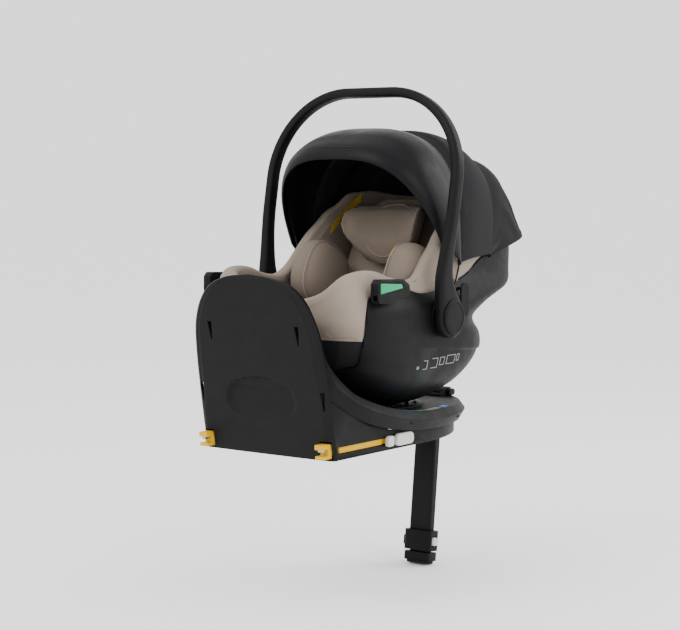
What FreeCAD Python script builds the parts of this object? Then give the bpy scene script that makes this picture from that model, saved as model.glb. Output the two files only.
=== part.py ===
"""Infant car seat with carry handle and canopy, on a swivelling base with a support leg.

Frame: origin on the base's underside, straight below the swivel axis.  +Z is up, +X is the
seat's left-right direction and +Y points to the head end.  Lengths are millimetres.
"""
import FreeCAD, Part
import math
import os
from FreeCAD import Placement, Rotation
from FreeCAD import Vector as V

os.makedirs("parts", exist_ok=True)
doc = FreeCAD.newDocument("infant_car_seat")

# ---------------------------------------------------------------- driving dimensions
SIZES = {
    "wall": 3.0,                  # moulded shell wall
    "base_half": 155.0,           # half width of the lower base
    "rim_half": 177.0,            # half width of the overhanging rim
    "nose_reach": 238.0,          # swivel axis to the tip of the nose
    "panel_foot": 316.0,          # swivel axis to the panel's foot
    "panel_lean": 10.2,           # panel's lean back, degrees
    "panel_thick": 8.0,
    "recess_half": 84.0,          # panel recess, half width
    "recess_deep": 4.0,
    "screw_radius": 2.0,
    "platform_top": 62.0,
    "table_radius": 120.0,        # turntable disc
    "table_thick": 9.0,
    "spindle_radius": 22.0,
    "isofix_spacing": 280.0,      # between the two connectors' centre lines
    "isofix_level": 18.0,         # connector axis above the underside
    "leg_wide": 52.0,
    "leg_deep": 21.0,
    "leg_wall": 2.0,
    "leg_lean": 6.2,              # degrees, foot end towards the panel
    "leg_pivot_back": 224.0,
    "leg_pivot_high": 14.0,
    "leg_tube_long": 250.0,
    "leg_pin_radius": 4.0,
    "shell_thick": 4.0,           # carrier's outer shell
    "liner_depth": 18.0,          # outer face of the carrier to the foam's inner face
    "cover_depth": 26.0,          # outer face of the carrier to the cover's inner face
    "hub_back": -28.0,            # handle pivot
    "hub_high": 250.0,
    "hub_radius": 41.0,
    "hub_button_radius": 34.0,
    "handle_half": 217.0,         # handle arm centre line from the middle
    "handle_thick": 20.0,
    "handle_deep": 27.0,
    "handle_corner": 160.0,
    "handle_top": 684.0,
    "handle_lean": 10.6,          # degrees
    "canopy_pivot_back": 45.0,
    "canopy_pivot_high": 300.0,
    "canopy_half": 190.0,
    "visor_radius": 322.0,
    "visor_thick": 3.0,
    "fabric_thick": 2.0,
    "front_bow_radius": 313.0,
    "front_bow_half": 184.0,
    "middle_bow_radius": 308.0,
    "middle_bow_half": 180.5,
    "bow_thick": 3.0,
    "strap_wide": 24.0,
    "strap_thick": 2.5,
    "strap_pad_wide": 38.0,
    "buckle_wide": 46.0,
    "buckle_high": 52.0,
    "buckle_thick": 18.0,
    "buckle_lean": 12.0,
    "headrest_up": 290.0,         # along the reclined back
}
sheet = doc.addObject("Spreadsheet::Sheet", "Sizes")
for line, (name, value) in enumerate(SIZES.items(), start=1):
    sheet.set(f"A{line}", name.replace("_", " "))
    sheet.set(f"B{line}", str(value))
    sheet.setAlias(f"B{line}", name)
doc.recompute()


def size(name):
    """A driving dimension, read from the sheet."""
    return float(sheet.get(name))


nodes = []


def node(label, made):
    """Marks an object of the document as one finished sub-part."""
    made.Label = label
    nodes.append(made)
    return made


def bind(made, **expressions):
    """Ties properties of an object to cells of the sheet; plain numbers are set as they are."""
    for prop, value in expressions.items():
        if isinstance(value, str):
            made.setExpression(prop, value)
        else:
            setattr(made, prop, value)
    return made


def at(x=0.0, y=0.0, z=0.0, turn=None):
    return Placement(V(x, y, z), turn or Rotation())


def about_x(angle):
    return Rotation(V(1, 0, 0), angle)


def about_y(angle):
    return Rotation(V(0, 1, 0), angle)


# ---------------------------------------------------------------- helpers for features
def block(name, x, y, z, where=None):
    """Box from three (low, high) pairs; an optional placement moves it afterwards."""
    made = doc.addObject("Part::Box", name)
    bind(made, Length=x[1] - x[0], Width=y[1] - y[0], Height=z[1] - z[0])
    made.Placement = (where or Placement()).multiply(at(x[0], y[0], z[0]))
    return made


def round_bar(name, radius, long, where):
    """Cylinder whose axis starts at the placement's origin and runs along its z."""
    made = doc.addObject("Part::Cylinder", name)
    bind(made, Radius=radius, Height=long)
    made.Placement = where
    return made


def cut(name, base, *tools):
    for number, tool in enumerate(tools):
        made = doc.addObject("Part::Cut", f"{name}_cut{number}")
        made.Base, made.Tool = base, tool
        base = made
    return base


def fuse(name, *shapes):
    made = doc.addObject("Part::MultiFuse", name)
    made.Shapes = list(shapes)
    return made


def common(name, *shapes):
    made = doc.addObject("Part::MultiCommon", name)
    made.Shapes = list(shapes)
    return made


def fillet(name, base, radius, pick):
    """Rounds the edges of base that pick accepts."""
    doc.recompute()
    made = doc.addObject("Part::Fillet", name)
    made.Base = base
    made.Edges = [(i + 1, radius, radius) for i, e in enumerate(base.Shape.Edges) if pick(e)]
    return made


def feature(name, shape, where=None):
    made = doc.addObject("Part::Feature", name)
    made.Shape = shape
    made.Placement = where or Placement()
    return made


def origin_plane(body, role):
    return next(f for f in body.Origin.OriginFeatures if f.Role == role)


def sketch(body, role, edges, name="outline"):
    made = body.newObject("Sketcher::SketchObject", name)
    made.AttachmentSupport = [(origin_plane(body, role), "")]
    made.MapMode = "FlatFace"
    for edge in edges:
        made.addGeometry(edge, False)
    return made


def poly(points):
    """Straight closed outline through (u, v) points."""
    ring = [V(u, v, 0) for u, v in points]
    return [Part.LineSegment(a, b) for a, b in zip(ring, ring[1:] + ring[:1])]


def smooth(points):
    """One curve through (u, v) points."""
    curve = Part.BSplineCurve()
    curve.interpolate([V(u, v, 0) for u, v in points])
    return curve


def rounded(width, height, radius, u=0.0, v=0.0):
    """Rectangle with rounded corners, centred on (u, v)."""
    a, b = width / 2 - radius, height / 2 - radius
    edges = []
    for number, (cu, cv) in enumerate(((a, b), (-a, b), (-a, -b), (a, -b))):
        start = number * math.pi / 2
        circle = Part.Circle(V(u + cu, v + cv, 0), V(0, 0, 1), radius)
        edges.append(Part.ArcOfCircle(circle, start, start + math.pi / 2))
    if a > 0.01:
        edges.append(Part.LineSegment(V(u - a, v + height / 2, 0), V(u + a, v + height / 2, 0)))
        edges.append(Part.LineSegment(V(u - a, v - height / 2, 0), V(u + a, v - height / 2, 0)))
    if b > 0.01:
        edges.append(Part.LineSegment(V(u + width / 2, v - b, 0), V(u + width / 2, v + b, 0)))
        edges.append(Part.LineSegment(V(u - width / 2, v - b, 0), V(u - width / 2, v + b, 0)))
    return edges


def padded(name, role, edges, length, where=None, symmetric=False, back=False):
    """A body with one sketch, padded."""
    body = doc.addObject("PartDesign::Body", name)
    pad = body.newObject("PartDesign::Pad", "pad")
    pad.Profile = sketch(body, role, edges)
    if isinstance(length, str):
        pad.setExpression("Length", length)
    else:
        pad.Length = length
    if symmetric:
        pad.SideType = "Symmetric"
    pad.Reversed = back
    body.Tip = pad
    body.Placement = where or Placement()
    return body


def pocket(body, role, edges, depth, back=False, symmetric=False):
    """Cuts a sketch into a body and proves that it removed material."""
    doc.recompute()
    before = body.Shape.Volume
    made = body.newObject("PartDesign::Pocket", "pocket")
    made.Profile = sketch(body, role, edges, "pocket_outline")
    made.Length = depth
    made.Reversed = back
    if symmetric:
        made.SideType = "Symmetric"
    body.Tip = made
    doc.recompute()
    if body.Shape.Volume > before - 1.0:
        raise RuntimeError(f"{body.Name}: the pocket cut nothing")
    return made


def mirror_x(label, source):
    """The other side's copy of a sub-part."""
    made = doc.addObject("Part::Mirroring", label)
    made.Source = source
    made.Normal = V(1, 0, 0)
    return made


def both_sides(stem, source):
    node(f"{stem}_left", source)
    node(f"{stem}_right", mirror_x(f"{stem}_right", source))


# ---------------------------------------------------------------- base
LEAN = math.tan(math.radians(size("panel_lean")))


def panel_back(z):
    """y of the panel's outer face at height z."""
    return -size("panel_foot") - LEAN * z


# Swoop of the upper shell: (top y, z), (underside y, z), half width at the crease.
face = size("panel_thick") / math.cos(math.radians(size("panel_lean"))) + 0.3
CREST = [(334, 40), (326, 88), (303, 118), (277, 134), (240, 147)]
swoop = [((panel_back(z) + face + 7.0, z), (panel_back(z) + face, z), w) for z, w in CREST]
swoop += [
    ((-333, 205), (panel_back(195) + face, 195), 151),
    ((-314, 180), (panel_back(150) + face, 150), 154),
    ((-290, 154), (panel_back(110) + face, 112), 157),
    ((-264, 131), (-292, 94), 162),
    ((-239, 114), (-258, 78), 167),
    ((-184, 93), (-206, 57), 173),
    ((-126, 78), (-138, 40), 176),
    ((-60, 66), (-66, 30), 177),
    ((0, 62), (0, 27), 177),
]
for share in (0.28, 0.52, 0.72, 0.87, 0.96, 0.995):
    y = share * size("nose_reach")
    half = size("rim_half") * math.sqrt(1 - share * share)
    swoop.append(((y, 62), (y, 27 + 6 * share**4), half))


def swoop_ring(top, low, half, inset=0.0):
    """Six-cornered cross-section: bevelled above and below a crease that stands out."""
    (ty, tz), (ly, lz) = top, low
    bevel = min(13.0, 0.35 * half)
    crease = 0.42
    cy, cz = ty + (ly - ty) * crease, tz + (lz - tz) * crease
    half -= inset
    outline = [
        V(half - bevel, ty, tz), V(half, cy, cz), V(half - bevel, ly, lz),
        V(bevel - half, ly, lz), V(-half, cy, cz), V(bevel - half, ty, tz),
    ]
    return Part.makePolygon(outline + outline[:1])


upper_solid = Part.makeLoft([swoop_ring(*s) for s in swoop], True, True)
wall = size("wall")
hollow = []
for top, low, half in swoop[7:-3]:
    (ty, tz), (ly, lz) = top, low
    along = math.hypot(ty - ly, tz - lz)
    ny, nz = (ly - ty) / along, (lz - tz) / along
    inner_top = (ty + ny * wall * 1.6, tz + nz * wall * 1.6)
    hollow.append(swoop_ring(inner_top, (ly + ny * 4, lz + nz * 4), half, wall * 2))
upper = feature("upper_solid", upper_solid)
upper_hollow = feature("upper_hollow", Part.makeLoft(hollow, True, True))
well = round_bar("table_well", "Sizes.table_radius + 1", 40, at(z=size("platform_top") - 10))
spindle_hole = round_bar("spindle_hole", "Sizes.spindle_radius + 0.05", 60, at(z=20))
button_hole = block("button_hole", (-27, 27), (176, 204), (40, 90))
node("base_upper_shell", cut("base_upper", upper, upper_hollow, well, spindle_hole, button_hole))

# Lower tub: side view under the swoop, crossed with the plan outline.
SIDE = [(panel_back(0) + face, 0), (176, 0), (224, 12), (226, 27), (100, 26.5), (0, 26.5), (-66, 29.5),
        (-138, 39.5), (-206, 56.5), (-258, 77.5), (-292, 93.5), (panel_back(112) + face, 111.5)]
INSIDE = [(panel_back(0) + face + 3, 3), (168, 3), (216, 14), (218, 60), (0, 60), (-138, 60),
          (-206, 90), (-292, 120), (panel_back(112) + face + 3, 130)]


def plan(half, back, nose, straight=-20.0):
    """Plan outline: straight sides, then half an ellipse round the nose."""
    curve = [(half * math.cos(t), straight + (nose - straight) * math.sin(t))
             for t in [i * math.pi / 12 for i in range(13)]]
    return [smooth(curve)] + [
        Part.LineSegment(V(-half, straight, 0), V(-half, back, 0)),
        Part.LineSegment(V(-half, back, 0), V(half, back, 0)),
        Part.LineSegment(V(half, back, 0), V(half, straight, 0)),
    ]


half = size("base_half")
tub_side = padded("tub_side", "YZ_Plane", poly(SIDE), "2 * Sizes.rim_half", symmetric=True)
tub_plan = padded("tub_plan", "XY_Plane", plan(half, -400, 224), 140)
tub = common("tub", tub_side, tub_plan)
tub_in_side = padded("tub_in_side", "YZ_Plane", poly(INSIDE), "2 * Sizes.rim_half", symmetric=True)
tub_in_plan = padded("tub_in_plan", "XY_Plane", plan(half - wall, -399, 221), 140)
tub_inside = common("tub_inside", tub_in_side, tub_in_plan)
leg_room = block("leg_room", (-32, 32), (40, 260), (-5, 40))
level = size("isofix_level")
slots = []
for side in (1, -1):
    inner, outer = sorted((side * (half - 10), side * (half + 5)))
    slots.append(block(f"side_slot{side}", (inner, outer), (-300, -62), (level - 6, level + 6)))
    middle = side * size("isofix_spacing") / 2
    slots.append(block(f"rear_slot{side}", (middle - 12, middle + 12), (-340, -300), (level - 15, level + 17)))
node("base_lower_shell", cut("base_lower", tub, tub_inside, leg_room, *slots))

# Leg channel roof and cheeks inside the tub, with the pivot bore.
leg_y, leg_z = size("leg_pivot_back"), size("leg_pivot_high")
cheeks = fuse(
    "cheeks",
    block("cheek_left", (28.5, 31.8), (196, 217), (3.2, 26.2)),
    block("cheek_right", (-31.8, -28.5), (196, 217), (3.2, 26.2)),
    block("channel_roof", (-31.8, 31.8), (42, 217), (23.2, 26.2)),
)
node("leg_bracket", cut("leg_bracket", cheeks, round_bar(
    "pivot_bore", "Sizes.leg_pin_radius + 0.05", 100, at(-50, leg_y - 16, leg_z, about_y(90)))))

# Panel: outline, slots and the shallow recess, modelled upright and then leant back.
P_OUT = [(0, 340), (50, 336), (88, 326), (118, 303), (135, 275), (148, 236), (154, 180), (156, 100), (157, 0)]
right_side = smooth([(0, 340)] + P_OUT[1:])
left_side = smooth([(0, 340)] + [(-u, v) for u, v in P_OUT[1:]])
outline = [right_side, left_side, Part.LineSegment(V(157, 0, 0), V(-157, 0, 0))]
lean = Rotation(V(1, 0, 0), size("panel_lean"))
panel = padded("panel", "XZ_Plane", outline, "Sizes.panel_thick", back=True,
               where=at(0, -size("panel_foot"), 0, lean))
for u, v in ((104, 248), (-104, 248), (145, 128), (-145, 128)):
    pocket(panel, "XZ_Plane", poly([(u - 5, v), (u + 5, v), (u + 1.5, v - 35), (u - 0.5, v - 35)]), 20,
           symmetric=True)
for side in (1, -1):
    middle = side * size("isofix_spacing") / 2
    pocket(panel, "XZ_Plane", rounded(24, 32, 2, middle, level + 1), 20, symmetric=True)
RECESS_LEVEL, RECESS_UP, RECESS_DOWN, RECESS_BEND = 100, 50, 34, 0.8
dome = []
for step in range(20):
    c, s = math.cos(step * math.pi / 10), math.sin(step * math.pi / 10)
    rise = (RECESS_UP if s > 0 else RECESS_DOWN) * math.copysign(abs(s) ** RECESS_BEND, s)
    dome.append((size("recess_half") * c, RECESS_LEVEL + rise))
rim = Part.BSplineCurve()
rim.interpolate([V(u, v, 0) for u, v in dome], PeriodicFlag=True)
pocket(panel, "XZ_Plane", [rim], 2 * size("recess_deep"), symmetric=True)
node("backrest_panel", panel)

# Wide release lever over the nose, in its own raised housing.
HOUSING = [(182, 50), (224, 50), (230, 60), (226, 74), (214, 80), (200, 77), (182, 64)]
housing = padded("housing", "YZ_Plane", poly(HOUSING), 116, symmetric=True)
housing_room = block("housing_room", (-50, 50), (189, 221), (45, 71))
press_room = padded("press_room", "YZ_Plane", rounded(22.8, 14.8, 7.3, 210, 70), 9, at(x=53.6))
housing_foot = cut("housing_foot", housing, housing_room, press_room,
                   block("housing_clear", (-60, 60), (170, 240), (40, 62.3)))
node("release_housing", housing_foot)
grip_end = padded("grip_end", "YZ_Plane", rounded(22, 14, 6.9, 210, 70), 9, at(x=58.5))
node("release_button", grip_end)

# Screws that hold the tub to the upper shell, as one group.
screws = []
for x, y in ((120, -180), (-120, -180), (120, 60), (-120, 60)):
    head = round_bar(f"screw_head{x}_{y}", "2 * Sizes.screw_radius", 2.0, at(x, y, wall))
    shank = round_bar(f"shank{x}_{y}", "Sizes.screw_radius", 10, at(x, y, wall + 2.0))
    screws.append(fuse(f"screw{x}_{y}", head, shank))
node("base_screws", fuse("screws", *screws))

# ---------------------------------------------------------------- isofix connectors (right side, then mirrored)
middle = size("isofix_spacing") / 2
arm_in, arm_out = middle - 9.5, middle + 9
JAW_TIP, JAW_ROOT = -340, -322
arm_bar = block("arm_bar", (arm_in, arm_out), (JAW_ROOT, -160), (level - 6, level + 6))
jaw_top = block("jaw_top", (arm_in, arm_out), (JAW_TIP, JAW_ROOT), (level + 5, level + 14))
jaw_low = block("jaw_low", (arm_in, arm_out), (JAW_TIP + 2, JAW_ROOT), (level - 13, level - 7))
jaw_back = block("jaw_back", (arm_in, arm_out), (JAW_ROOT, JAW_ROOT + 10), (level - 13, level + 14))
strip = block("strip", (arm_out, middle + 11.7), (-292, -160), (level - 5.5, level + 5.5))
tail_bar = block("tail_bar", (middle - 6, arm_out), (-160, -90), (level - 5, level + 5))
neck = block("neck", (arm_out, middle + 15.6), (-150, -80), (level - 5, level + 5))
both_sides("isofix_arm", fuse("isofix_arm_right", arm_bar, jaw_top, jaw_low, jaw_back, strip, tail_bar, neck))
grip = padded("isofix_grip_body", "YZ_Plane", rounded(56, 23, 10, -99, level), 10, at(x=middle + 15.6))
both_sides("isofix_grip", grip)
both_sides("isofix_button", padded("isofix_button_body", "YZ_Plane", rounded(20, 20, 5, -145, level), 8.5,
                                   at(x=middle + 15.9)))
HOOK_SIDE = [(-337, 4.3), (-325, 4.3), (-325, 0.5), (-334, -0.5), (-337, 1.5)]
hook = padded("hook_body", "YZ_Plane", poly([(y, level + z) for y, z in HOOK_SIDE]), 8, at(x=middle - 4))
both_sides("isofix_hook", hook)

# ---------------------------------------------------------------- support leg, modelled upright, then leant
leg = at(0, leg_y, leg_z, Rotation(V(1, 0, 0), -size("leg_lean")))


def on_leg(x=0.0, y=0.0, z=0.0, turn=None):
    return leg.multiply(at(x, y, z, turn))


wide, deep, skin = size("leg_wide"), size("leg_deep"), size("leg_wall")
slide_wide, slide_deep = wide - 6, deep - 6
THROUGH = 600
tube = padded("leg_tube", "XY_Plane", rounded(wide, deep, 5), "Sizes.leg_tube_long", on_leg(), back=True)
pocket(tube, "XY_Plane", rounded(wide - 2 * skin, deep - 2 * skin, 3), THROUGH, symmetric=True)
PIN_DROP, PIN_HALF = -8, 27
tube_bore = round_bar("tube_bore", "Sizes.leg_pin_radius + 0.05", 80, on_leg(-40, 0, PIN_DROP, about_y(90)))
node("leg_outer_tube", cut("leg_outer", tube, tube_bore))
node("leg_pivot_pin", round_bar("leg_pin", "Sizes.leg_pin_radius", 2 * PIN_HALF,
                                on_leg(-PIN_HALF, 0, PIN_DROP, about_y(90))))
clamp_body = padded("clamp_body", "XY_Plane", rounded(66, 36, 7), 42, on_leg(z=-242), back=True)
clamp_room = padded("clamp_room", "XY_Plane", rounded(wide + 0.4, deep + 0.4, 5), 200, on_leg(z=-150),
                    back=True)
clamp_button_room = block("clamp_button_room", (25, 40), (-9, 9), (-274, -254), leg)
node("leg_clamp", cut("leg_clamp", clamp_body, clamp_room, clamp_button_room))
node("leg_release_button", padded("leg_button", "YZ_Plane", rounded(15, 17, 4, 0, -264), 9, on_leg(x=28)))
lever = block("lever", (-40, -33.4), (-9, 9), (-276, -256), leg)
node("leg_lock_lever", fillet("leg_lever", lever, 2.5, lambda e: e.Length > 15))
inner = padded("leg_inner", "XY_Plane", rounded(slide_wide, slide_deep, 3), 250, on_leg(z=-40), back=True)
pocket(inner, "XY_Plane", rounded(slide_wide - 2 * skin, slide_deep - 2 * skin, 2), THROUGH, symmetric=True)
node("leg_inner_tube", inner)
FOOT_TOP = -288.0
foot = padded("foot", "XY_Plane", rounded(62, 36, 6), 18, on_leg(z=FOOT_TOP), back=True)
foot_room = padded("foot_room", "XY_Plane", rounded(slide_wide, slide_deep, 3), 2.0, on_leg(z=FOOT_TOP),
                   back=True)
node("leg_foot", cut("foot_cut", foot, foot_room))
node("leg_foot_pad", padded("foot_pad", "XY_Plane", rounded(52, 30, 6), 6, on_leg(z=FOOT_TOP - 18), back=True))

# ---------------------------------------------------------------- turntable
top = size("platform_top")
disc = round_bar("disc", "Sizes.table_radius", "Sizes.table_thick", at(z=top - 9.5))
spindle = round_bar("spindle", "Sizes.spindle_radius", 26, at(z=top - 32))
node("turntable", fuse("turntable_disc", disc, spindle))
node("turntable_ring", cut("ring", round_bar("ring_out", 112, 4.7, at(z=top - 0.5)),
                           round_bar("ring_in", 100, 9, at(z=top - 2))))
LATCH = ((62, 60), (-62, 60), (62, -60), (-62, -60))
fingers = [fillet(f"finger{i}", block(f"latch{i}", (x - 6, x + 6), (y - 9, y + 9), (top - 0.5, top + 22)), 2,
                  lambda e: e.BoundBox.ZLength > 15) for i, (x, y) in enumerate(LATCH)]
node("carrier_latch_fingers", fuse("fingers", *fingers))

# ---------------------------------------------------------------- carrier: nested shells from one ring family
# height: half width, foot-end reach and squareness, head-end reach and squareness
RINGS = [
    (66.5, 74, 80, 2.5, 80, 2.5),
    (76, 106, 110, 2.5, 106, 2.5),
    (90, 133, 144, 2.7, 132, 2.5),
    (112, 165, 188, 3.0, 173, 2.5),
    (145, 187, 230, 3.6, 214, 2.6),
    (176, 196, 246, 4.5, 226, 2.8),
    (205, 200, 266, 6.0, 216, 2.8),
    (240, 201, 283, 8.0, 200, 2.4),
    (268, 200, 284, 9.0, 232, 3.2),
    (296, 189, 284, 10.0, 316, 4.2),
    (330, 174, 280, 10.0, 338, 4.8),
    (398, 166, 270, 10.0, 342, 5.0),
    (450, 158, 250, 9.0, 318, 4.0),
    (500, 148, 230, 8.0, 270, 3.0),
]
LOW, HIGH = RINGS[0][0], RINGS[-1][0]


def carrier_solid(name, inset):
    """The carrier's outer form, drawn in by inset at the sides, the ends and underneath."""
    wires = []
    for z, w, foot_reach, foot_square, head_reach, head_square in RINGS:
        level_up = z + inset * (HIGH - z) / (HIGH - LOW)
        points = []
        for step in range(24):
            c, s = math.cos(step * math.pi / 12), math.sin(step * math.pi / 12)
            reach, power = (head_reach, head_square) if s > 0 else (foot_reach, foot_square)
            bend = 2 / power
            x = (w - inset) * math.copysign(abs(c) ** bend, c)
            y = (reach - inset) * math.copysign(abs(s) ** bend, s)
            points.append(V(x, y, level_up))
        wires.append(Part.Wire(Part.makePolygon(points + points[:1])))
    return feature(name, Part.makeLoft(wires, True, True))


def side_profile(name, points):
    """Everything above a rim line, as a tool that trims an open vessel."""
    far = [(500, 900), (-500, 900)]
    return padded(name, "YZ_Plane", poly(points + far), 900, symmetric=True)


SHELL_RIM = [(-500, 186), (-252, 186), (-246, 300), (-150, 316), (-90, 286), (60, 286), (110, 380), (160, 430),
             (250, 425), (300, 405), (345, 385), (500, 380)]
COVER_RIM = [(-500, 288), (-262, 288), (-246, 300), (-222, 341), (-170, 322), (-120, 312), (-75, 330),
             (-34, 358), (33, 418), (110, 470), (170, 486), (260, 470), (500, 440)]
LINER_RIM = [(a, b - 6) for a, b in COVER_RIM]
t_shell, t_liner, t_cover = size("shell_thick"), size("liner_depth"), size("cover_depth")
PLAY, PAD_PLAY = 0.2, 0.3
depths = (0.0, t_shell, t_shell + PLAY, t_liner, t_liner + PLAY, t_cover, t_cover + PAD_PLAY)
form = {inset: carrier_solid(f"form_{int(inset * 10)}", inset) for inset in depths}
pivot_y, pivot_z = size("canopy_pivot_back"), size("canopy_pivot_high")
bow_rooms = [round_bar(f"bow_room{x}", 50, 13, at(x, pivot_y, pivot_z, about_y(90))) for x in (175, -188)]
finger_rooms = [block(f"finger_room{i}", (x - 9, x + 9), (y - 12, y + 12), (60, 92))
                for i, (x, y) in enumerate(LATCH)]
shell_trim = side_profile("shell_trim", SHELL_RIM)
node("carrier_shell", cut("shell", form[0.0], form[t_shell], shell_trim, *finger_rooms, *bow_rooms))
liner_trim = side_profile("liner_trim", LINER_RIM)
node("foam_liner", cut("liner", form[t_shell + PLAY], form[t_liner], liner_trim, *finger_rooms, *bow_rooms))
cover_trim = side_profile("cover_trim", COVER_RIM)
node("seat_cover", cut("cover", form[t_liner + PLAY], form[t_cover], cover_trim))

# Seat pad and back pad fill the cover's hollow up to the sitting surface.
BACK = ((-5, 150), (166, 452))
PAN = [(-262, 204), (-200, 168), (-120, 146), (-60, 140), BACK[0]]
cavity = form[t_cover + PAD_PLAY]
pan_side = padded("pan_side", "YZ_Plane", poly(PAN + [(-5, 60), (-262, 60)]), 268, symmetric=True)
node("seat_pad", common("seat_pad_form", pan_side, cavity))
BEHIND = [(-4.5, 60), (-4.5, 150), BACK[1], (400, 452), (400, 60)]
back_side = padded("back_side", "YZ_Plane", poly(BEHIND), 268, symmetric=True)
node("back_pad", common("back_pad_form", back_side, cavity))
tilt = math.degrees(math.atan2(BACK[1][1] - BACK[0][1], BACK[1][0] - BACK[0][0]))
back = at(0, BACK[0][0], BACK[0][1], about_x(tilt - 90))


def on_back(x=0.0, off=0.0, up=0.0, turn=None):
    """Place measured on the reclined back: sideways, out of the surface, and up along it."""
    return back.multiply(at(x, -off, up, turn))


# Side bolsters, head rest and its carrier plate.
bolster_form = padded("bolster_form", "YZ_Plane", rounded(150, 140, 62), 62, on_back(x=76, off=80, up=142))
both_sides("side_bolster", bolster_form)
head_up = size("headrest_up")
node("headrest_plate", padded("headrest_plate_form", "XZ_Plane", rounded(196, 140, 40), 8,
                              on_back(off=4, up=head_up)))
pillow = doc.addObject("Part::Ellipsoid", "pillow")
bind(pillow, Radius1=76, Radius2=86, Radius3=28)
pillow.Placement = on_back(off=42.3, up=head_up)
node("headrest_pad", pillow)

# Harness: two shoulder straps with pads, waist buckle, crotch strap, front adjuster.
BUCKLE = V(0, -40, 178)
for side, word in ((1, "left"), (-1, "right")):
    start = V(side * 15, -30, 194)
    end = on_back(side * 44, 14, 176).Base
    run = end - start
    strap_turn = Rotation(V(1, 0, 0), V(0, -run.z, run.y), run, "ZXY")
    strap = doc.addObject("Part::Box", f"strap_{word}")
    bind(strap, Length="Sizes.strap_wide", Width="Sizes.strap_thick", Height=run.Length)
    strap.Placement = Placement(start, strap_turn).multiply(at(-size("strap_wide") / 2, 0, 0))
    node(f"shoulder_strap_{word}", strap)
    pad_half = size("strap_pad_wide") / 2
    pad = block(f"strap_pad_{word}", (-pad_half, pad_half), (-9, -0.5), (60, 160), Placement(start, strap_turn))
    node(f"shoulder_pad_{word}", fillet(f"shoulder_pad_form_{word}", pad, 3.5, lambda e: e.Length > 90))
buckle_at = at(0, BUCKLE.y - 4, BUCKLE.z, about_x(-size("buckle_lean")))
buckle_box = padded("buckle_box", "XZ_Plane", rounded(size("buckle_wide"), size("buckle_high"), 12),
                    "Sizes.buckle_thick", buckle_at)
pocket(buckle_box, "XZ_Plane", rounded(27, 21, 5), 40, symmetric=True)
node("buckle_housing", buckle_box)
node("buckle_button", padded("buckle_press", "XZ_Plane", rounded(26, 20, 4.5), 12,
                             buckle_at.multiply(at(y=-8.5))))
node("crotch_strap", block("crotch", (-19, 19), (-48, -45.5), (142.6, 152)))
node("adjuster_housing", cut("adjuster", block("adjuster_block", (-24, 24), (-196, -150), (168.6, 176)),
                             block("adjuster_room", (-11, 11), (-190, -164), (170, 190))))
node("adjuster_button", block("adjuster_press", (-10, 10), (-189, -165), (172.5, 178)))

# ---------------------------------------------------------------- belt hooks, hub bosses, canopy pivots
HOOK = [(-246, 332), (-172, 329), (-154, 318), (-152, 300), (-214, 286), (-250, 288), (-254, 296), (-254, 324)]
GUIDE = [(-246, 325), (-180, 321), (-176, 313), (-246, 305)]
hook_in, hook_out = 193.5, 211.5
guide_in = hook_out - 2.5
hook_block = padded("hook_block", "YZ_Plane", poly(HOOK), hook_out - hook_in, at(x=hook_in))
belt_gap = block("belt_gap", (hook_in + 5.5, hook_out - 3.5), (-300, -150), (293, 302))
guide_room = padded("guide_room", "YZ_Plane", poly(GUIDE), 9, at(x=guide_in))
both_sides("belt_hook", cut("belt_hook", hook_block, belt_gap, guide_room))
both_sides("belt_guide_insert", padded("insert", "YZ_Plane", poly(GUIDE), 3, at(x=guide_in)))
hub_y, hub_z = size("hub_back"), size("hub_high")
STUB_RADIUS = 9
boss = round_bar("boss", 38, 3.6, at(201.4, hub_y, hub_z, about_y(90)))
stub = round_bar("stub", STUB_RADIUS, 16, at(203, hub_y, hub_z, about_y(90)))
both_sides("handle_socket", fuse("handle_boss", boss, stub))
tab = padded("tab", "YZ_Plane", rounded(26, 66, 12, pivot_y, 278), 3.6, at(x=201.4))
PEG_RADIUS = 3
peg = round_bar("peg", PEG_RADIUS, 26, at(176, pivot_y, pivot_z, about_y(90)))
both_sides("canopy_pivot", cut("canopy_pivot_form", fuse("canopy_pivot_solid", tab, peg),
                               round_bar("tab_clear", 42, 10, at(200, hub_y, hub_z, about_y(90)))))

# ---------------------------------------------------------------- handle
HANDLE_Y, HANDLE_Z = -66, 262
reach = (size("handle_top") - HANDLE_Z) / math.cos(math.radians(size("handle_lean")))
corner, arm = size("handle_corner"), size("handle_half")
handle_body = doc.addObject("PartDesign::Body", "handle_body")
quarter = math.pi / 2
path = [
    Part.LineSegment(V(arm, 0, 0), V(arm, reach - corner, 0)),
    Part.ArcOfCircle(Part.Circle(V(arm - corner, reach - corner, 0), V(0, 0, 1), corner), 0, quarter),
    Part.LineSegment(V(arm - corner, reach, 0), V(corner - arm, reach, 0)),
    Part.ArcOfCircle(Part.Circle(V(corner - arm, reach - corner, 0), V(0, 0, 1), corner), quarter, 2 * quarter),
    Part.LineSegment(V(-arm, reach - corner, 0), V(-arm, 0, 0)),
]
route = sketch(handle_body, "XZ_Plane", path, "route")
section = sketch(handle_body, "XY_Plane",
                 rounded(size("handle_thick"), size("handle_deep"), 9, arm, 0), "section")
pipe = handle_body.newObject("PartDesign::AdditivePipe", "pipe")
pipe.Profile = section
pipe.Spine = route
handle_body.Tip = pipe
handle_body.Placement = at(0, HANDLE_Y, HANDLE_Z, about_x(-size("handle_lean")))


def across_hub(name, radius, low, long):
    """The same cylinder on the hub's axis at both sides, from x = low outwards."""
    return [round_bar(f"{name}{side}", radius, long,
                      at(low if side > 0 else -low - long, hub_y, hub_z, about_y(90))) for side in (1, -1)]


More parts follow.
